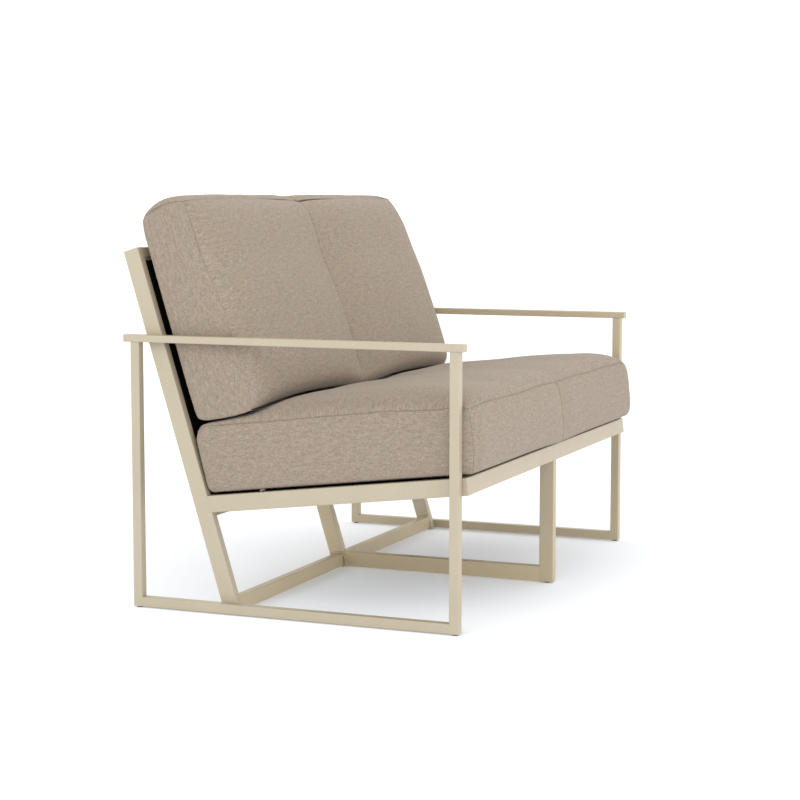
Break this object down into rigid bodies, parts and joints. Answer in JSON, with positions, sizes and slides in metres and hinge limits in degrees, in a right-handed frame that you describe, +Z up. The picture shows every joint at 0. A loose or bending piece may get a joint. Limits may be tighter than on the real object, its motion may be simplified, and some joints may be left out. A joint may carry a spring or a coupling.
{
  "type": "patio loveseat",
  "caption": "Low patio loveseat: square-tube arm frames, raked posts, black slings, a loose bench seat cushion and a loose back cushion.",
  "frame": {"origin": "on the floor, under the middle of the whole object", "axes": "+X along the width, +Z up, the seat faces -Y"},
  "size_m": [1.155, 0.7776, 0.8562],
  "materials": {
    "frame_paint": "satin",
    "cushion_cloth": "matte",
    "foam": "matte",
    "zip_tape": "matte",
    "zip_slider": "satin",
    "track_metal": "satin",
    "sling_cloth": "matte",
    "rod_plastic": "matte",
    "bolt_steel": "satin",
    "insert_metal": "satin",
    "glide_plastic": "matte"
  },
  "bodies": {
    "frame": {"arm_end_caps": "frame_paint", "back_sling_left": "sling_cloth", "back_sling_right": "sling_cloth", "back_sling_tracks": "track_metal", "back_top_rail": "frame_paint", "frame_bolts": "bolt_steel", "frame_inserts": "insert_metal", "left_arm_bar": "frame_paint", "left_back_post": "frame_paint", "left_floor_crossbar": "frame_paint", "left_floor_rail": "frame_paint", "left_front_leg": "frame_paint", "left_rear_leg": "frame_paint", "left_rear_rail": "frame_paint", "left_seat_rail": "frame_paint", "leg_glides": "glide_plastic", "middle_back_post": "frame_paint", "middle_floor_rail": "frame_paint", "middle_front_leg": "frame_paint", "middle_leg_glide": "glide_plastic", "middle_seat_bearer": "frame_paint", "post_end_caps": "frame_paint", "post_foot_plugs": "glide_plastic", "right_arm_bar": "frame_paint", "right_back_post": "frame_paint", "right_floor_crossbar": "frame_paint", "right_floor_rail": "frame_paint", "right_front_leg": "frame_paint", "right_rear_leg": "frame_paint", "right_rear_rail": "frame_paint", "right_seat_rail": "frame_paint", "seat_front_rail": "frame_paint", "seat_rail_end_caps": "frame_paint", "seat_sling_left": "sling_cloth", "seat_sling_right": "sling_cloth", "seat_sling_tracks": "track_metal", "sling_bead_rods": "rod_plastic"},
    "seat_cushion": {"seat_cushion_cover": "cushion_cloth", "seat_cushion_core": "foam", "seat_cushion_zip": "zip_tape"},
    "back_cushion": {"back_cushion_cover": "cushion_cloth", "back_cushion_core": "foam", "back_cushion_zip": "zip_tape"},
    "seat_zip_pull": {"seat_zip_slider": "zip_slider"},
    "back_zip_pull": {"back_zip_slider": "zip_slider"}
  },
  "joints": [
    {"name": "seat_cushion_slide", "type": "slide", "parent": "frame", "child": "seat_cushion", "axis": [0, -0.9928, 0.1201], "range_m": [0, 0.62]},
    {"name": "back_cushion_lift", "type": "slide", "parent": "frame", "child": "back_cushion", "axis": [0, 0.2926, 0.9562], "range_m": [0, 0.5]},
    {"name": "seat_zip_slide", "type": "slide", "parent": "seat_cushion", "child": "seat_zip_pull", "axis": [1, 0, 0], "range_m": [0, 1.06]},
    {"name": "back_zip_slide", "type": "slide", "parent": "back_cushion", "child": "back_zip_pull", "axis": [1, 0, 0], "range_m": [0, 1.05]}
  ]
}
